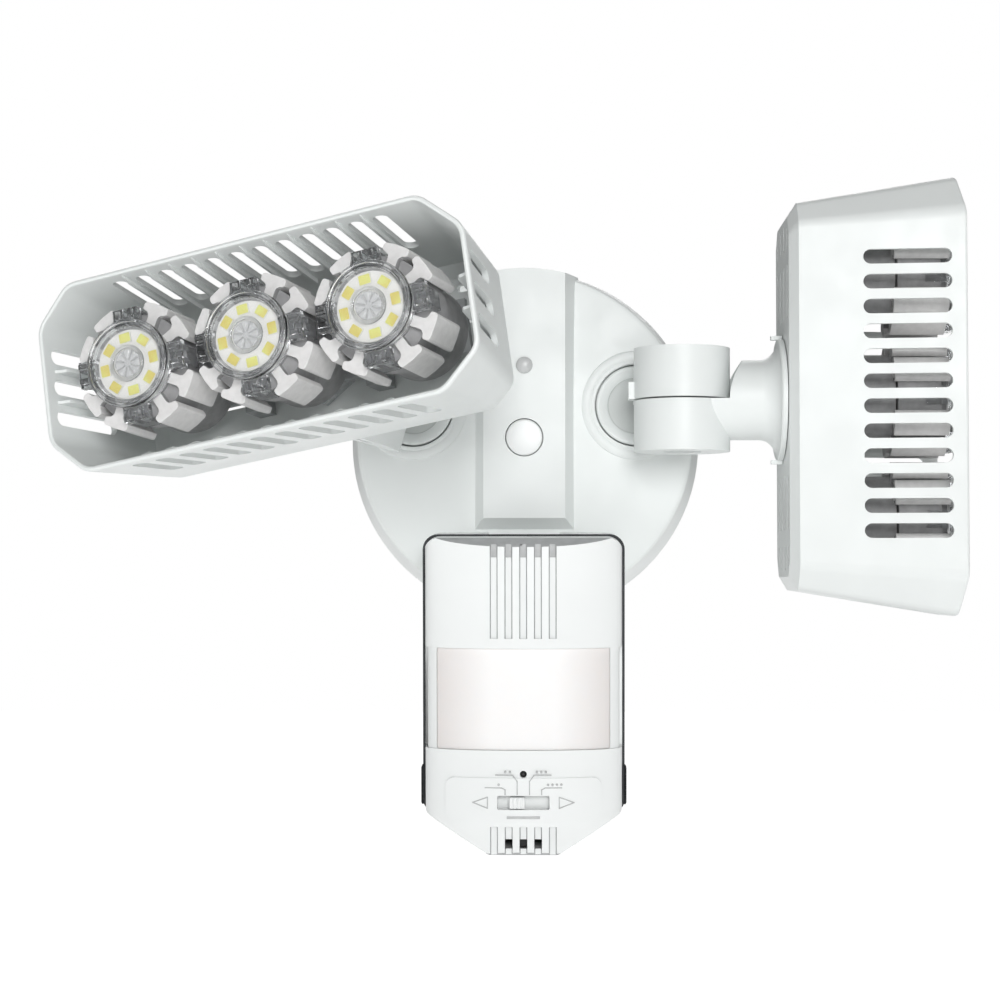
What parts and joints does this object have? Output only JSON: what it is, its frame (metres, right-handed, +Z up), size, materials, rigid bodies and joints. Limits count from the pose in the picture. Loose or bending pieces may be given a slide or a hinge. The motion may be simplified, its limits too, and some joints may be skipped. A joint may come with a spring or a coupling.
{
  "type": "twin-head motion sensor floodlight",
  "caption": "Wall-mounted security floodlight with two swivelling vented LED lamp heads and a hanging motion sensor head.",
  "frame": {"origin": "centre of the canopy's rear rim, in the plane of the wall", "axes": "+Y into the wall, square to the rear rim; +X to the right as seen from in front; +Z up"},
  "size_m": [0.3124, 0.1671, 0.233],
  "materials": {
    "shell": "satin white powder coat on die casting",
    "sensor_shell": "smooth white moulding",
    "ceramic": "matt white",
    "clear_cover": "clear, polished",
    "led_board": "white solder mask",
    "window": "milky, translucent",
    "seal": "matt dark grey",
    "carrier": "bare, matt grey",
    "steel": "zinc plated",
    "grey_plastic": "moulded grey",
    "circuit": "green solder mask"
  },
  "bodies": {
    "canopy": {"canopy_housing": "shell", "canopy_gasket": "seal", "mounting_bar": "steel", "box_screw_left": "steel", "box_screw_right": "steel", "centre_screw": "steel", "screw_cap": "shell", "ridge_plug": "window", "driver_housing": "grey_plastic", "terminal_block": "led_board", "sensor_stalk": "shell"},
    "arm_left": {"arm_left": "shell", "knuckle_bolt_left": "steel", "arm_nut_left": "steel"},
    "neck_left": {"neck_left": "shell", "friction_washer_left": "seal", "lamp_nut_left": "steel"},
    "lamp_left": {"shroud_left": "shell", "module_carrier_left": "carrier", "heat_sink_left_1": "ceramic", "led_board_left_1": "led_board", "lens_cover_left_1": "clear_cover", "heat_sink_left_2": "ceramic", "led_board_left_2": "led_board", "lens_cover_left_2": "clear_cover", "heat_sink_left_3": "ceramic", "led_board_left_3": "led_board", "lens_cover_left_3": "clear_cover"},
    "arm_right": {"arm_right": "shell", "knuckle_bolt_right": "steel", "arm_nut_right": "steel"},
    "neck_right": {"neck_right": "shell", "friction_washer_right": "seal", "lamp_nut_right": "steel"},
    "lamp_right": {"shroud_right": "shell", "module_carrier_right": "carrier", "heat_sink_right_1": "ceramic", "led_board_right_1": "led_board", "lens_cover_right_1": "clear_cover", "heat_sink_right_2": "ceramic", "led_board_right_2": "led_board", "lens_cover_right_2": "clear_cover", "heat_sink_right_3": "ceramic", "led_board_right_3": "led_board", "lens_cover_right_3": "clear_cover"},
    "sensor_pan": {"sensor_yoke": "grey_plastic", "pan_pin": "steel"},
    "sensor_head": {"sensor_front_cover": "sensor_shell", "sensor_lens": "window", "sensor_gasket": "seal", "sensor_rear_housing": "sensor_shell", "tilt_pin": "steel", "sensor_board": "circuit", "pir_element": "steel", "indicator": "window", "photocell": "seal"},
    "mode_switch": {"mode_knob": "sensor_shell"}
  },
  "joints": [
    {"name": "swivel_left", "type": "hinge", "parent": "canopy", "child": "arm_left", "pos_m": [-0.0403, -0.03, 0.012], "axis": [0, 1, 0], "range_deg": [-60, 90]},
    {"name": "turn_left", "type": "hinge", "parent": "arm_left", "child": "neck_left", "pos_m": [-0.05509, -0.053, 0.0163], "axis": [0.279, 0, 0.9603], "range_deg": [-75, 45]},
    {"name": "roll_left", "type": "hinge", "parent": "neck_left", "child": "lamp_left", "pos_m": [-0.05509, -0.053, 0.0163], "axis": [-0.3284, -0.9397, 0.0954], "range_deg": [-150, 150]},
    {"name": "swivel_right", "type": "hinge", "parent": "canopy", "child": "arm_right", "pos_m": [0.0403, -0.03, 0.012], "axis": [0, 1, 0], "range_deg": [-90, 30]},
    {"name": "turn_right", "type": "hinge", "parent": "arm_right", "child": "neck_right", "pos_m": [0.0557, -0.053, 0.012], "axis": [0, 0, 1], "range_deg": [-90, 20]},
    {"name": "roll_right", "type": "hinge", "parent": "neck_right", "child": "lamp_right", "pos_m": [0.0557, -0.053, 0.012], "axis": [1, 0, 0], "range_deg": [-150, 150]},
    {"name": "sensor_pan", "type": "hinge", "parent": "canopy", "child": "sensor_pan", "pos_m": [0, -0.052, -0.05], "axis": [0, 0, 1], "range_deg": [-25, 25]},
    {"name": "sensor_tilt", "type": "hinge", "parent": "sensor_pan", "child": "sensor_head", "pos_m": [0, -0.064, -0.05], "axis": [1, 0, 0], "range_deg": [-20, 20]},
    {"name": "mode_slide", "type": "slide", "parent": "sensor_head", "child": "mode_switch", "axis": [1, 0, 0], "range_m": [-0.0041, 0.0083]}
  ]
}
